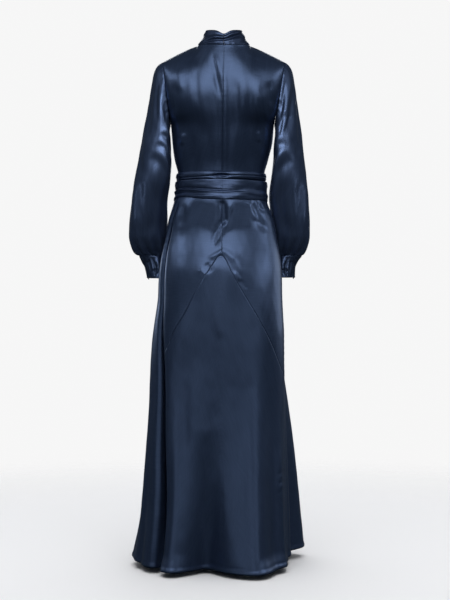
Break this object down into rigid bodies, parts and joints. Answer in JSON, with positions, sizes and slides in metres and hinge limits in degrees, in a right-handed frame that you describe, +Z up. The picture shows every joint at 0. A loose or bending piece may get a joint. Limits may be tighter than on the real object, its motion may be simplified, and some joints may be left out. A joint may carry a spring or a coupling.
{
  "type": "maxi dress",
  "caption": "Long-sleeved satin maxi dress in its hollow worn form, with stand collar, gathered sleeves, deep cuffs, tied sash and flared skirt.",
  "frame": {"origin": "middle of the neck base at the height of the shoulder points, where the wearer's shoulders hold the dress", "axes": "+Z up, +Y out of the back of the dress, +X towards the wearer's left"},
  "size_m": [0.543, 0.4357, 1.5655],
  "materials": {
    "satin_bodice": "lustrous navy silk satin",
    "satin_collar": "lustrous navy silk satin",
    "satin_sleeve": "lustrous navy silk satin",
    "satin_cuff": "lustrous navy silk satin",
    "satin_skirt": "lustrous navy silk satin",
    "satin_sash": "lustrous navy silk satin"
  },
  "bodies": {
    "root": {"bodice_back_left": "satin_bodice", "bodice_back_right": "satin_bodice", "bodice_front": "satin_bodice", "collar": "satin_collar", "sleeve_left": "satin_sleeve", "sleeve_right": "satin_sleeve", "cuff_left": "satin_cuff", "cuff_right": "satin_cuff", "skirt_back_yoke_left": "satin_skirt", "skirt_back_yoke_right": "satin_skirt", "skirt_back_panel": "satin_skirt", "skirt_front": "satin_skirt", "sash_band": "satin_sash", "sash_upper_wrap": "satin_sash", "sash_knot": "satin_sash", "sash_tail_long": "satin_sash", "sash_tail_short": "satin_sash"}
  },
  "joints": []
}
